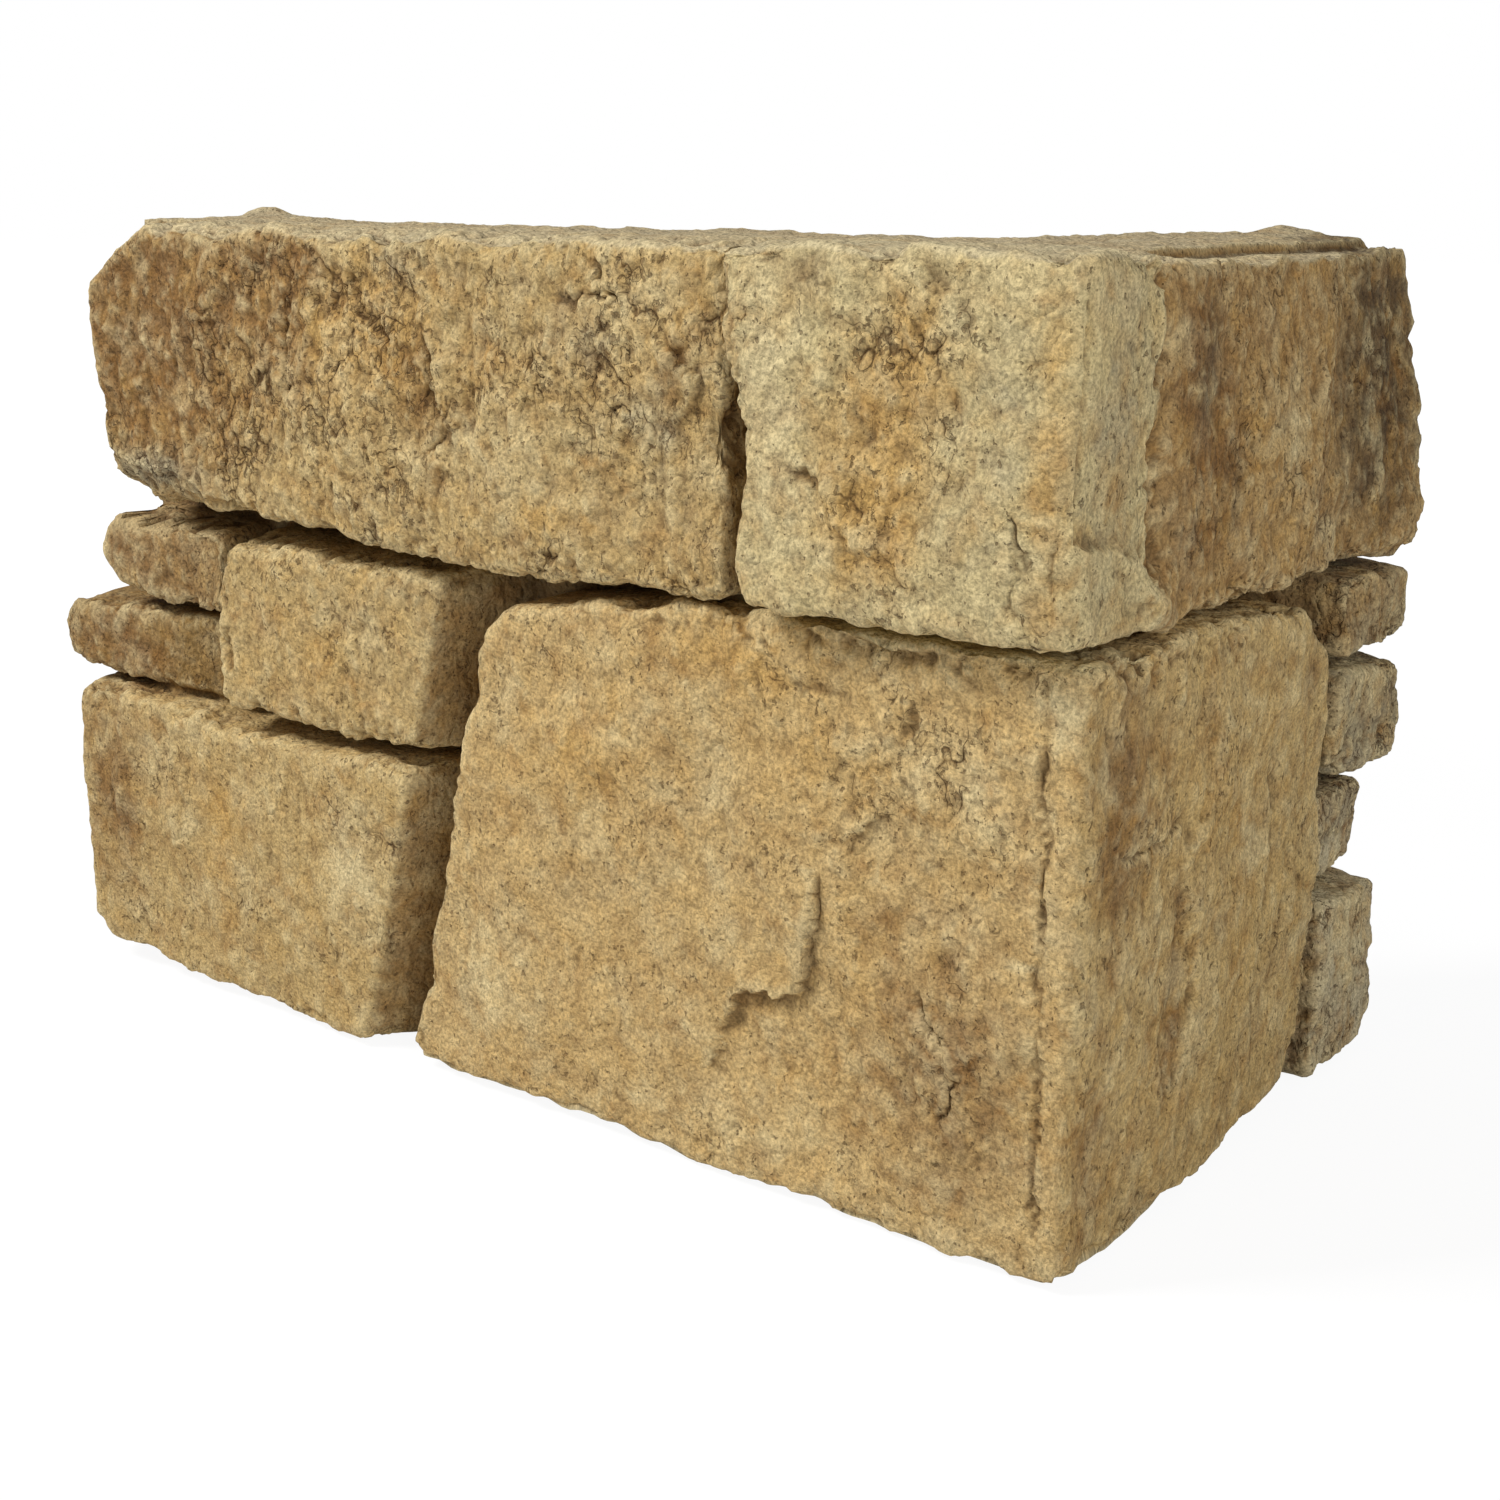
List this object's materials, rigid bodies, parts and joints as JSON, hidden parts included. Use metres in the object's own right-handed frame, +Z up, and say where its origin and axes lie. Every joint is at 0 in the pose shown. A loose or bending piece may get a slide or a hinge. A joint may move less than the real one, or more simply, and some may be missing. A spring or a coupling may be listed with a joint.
{
  "type": "stone veneer corner",
  "caption": "L-shaped cast stone veneer corner: irregular moulded stones in buff, brown and grey stand in relief on a flat backing that wraps the outside corner of a wall.",
  "frame": {"origin": "foot of the inner corner, where the two wall faces and the bed face meet", "axes": "+Z up, the long leg runs towards -X with its stones facing -Y, the short leg runs towards +Y with its stones facing +X"},
  "size_m": [0.3232, 0.175, 0.2032],
  "materials": {
    "cast_stone": "rough cast concrete, stained buff, brown and grey"
  },
  "bodies": {
    "root": {"veneer_corner": "cast_stone"}
  },
  "joints": []
}
